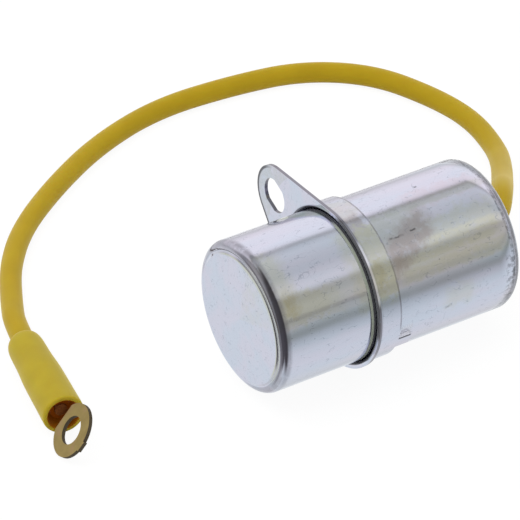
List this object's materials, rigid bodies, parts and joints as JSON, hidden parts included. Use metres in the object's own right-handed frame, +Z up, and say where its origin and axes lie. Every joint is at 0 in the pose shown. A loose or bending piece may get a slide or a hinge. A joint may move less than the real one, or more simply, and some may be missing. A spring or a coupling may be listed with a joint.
{
  "type": "ignition condenser",
  "caption": "Round metal-cased ignition condenser with a banded fixing ear and a yellow insulated lead that ends in a sleeved ring terminal.",
  "frame": {"origin": "centre of the can's closed flat end, on the can's axis", "axes": "+X along the can's axis to the end that the lead leaves, +Z up as the part lies, the fixing ear to +Y"},
  "size_m": [0.0861, 0.0717, 0.0218],
  "materials": {
    "zinc_plate": "bright zinc plate, smooth",
    "band_zinc_plate": "bright zinc plate, smooth",
    "hard_paper": "brown phenolic paper laminate, satin",
    "seal_rubber": "matt",
    "contact_brass": "plain",
    "solder": "satin",
    "sprayed_zinc": "rough sprayed metal",
    "wound_paper": "waxed",
    "core_board": "plain",
    "liner_paper": "waxed kraft paper",
    "tinned_steel": "satin",
    "spring_steel": "hardened strip",
    "lead_insulation": "yellow vinyl, satin",
    "tinned_copper": "tinned strand",
    "sleeve_vinyl": "yellow soft vinyl, satin",
    "terminal_brass": "stamped, dulled"
  },
  "bodies": {
    "root": {"can": "zinc_plate", "mounting_band": "band_zinc_plate", "end_disc": "hard_paper", "rubber_seal": "seal_rubber", "contact_plate": "contact_brass", "lead_eyelet": "contact_brass", "solder_joint": "solder", "live_end_spray": "sprayed_zinc", "winding": "wound_paper", "winding_core": "core_board", "winding_liner": "liner_paper", "earth_end_spray": "sprayed_zinc", "earth_disc": "tinned_steel", "pressure_spring": "spring_steel", "lead_jacket": "lead_insulation", "lead_strand": "tinned_copper", "terminal_sleeve": "sleeve_vinyl", "ring_terminal": "terminal_brass"}
  },
  "joints": []
}
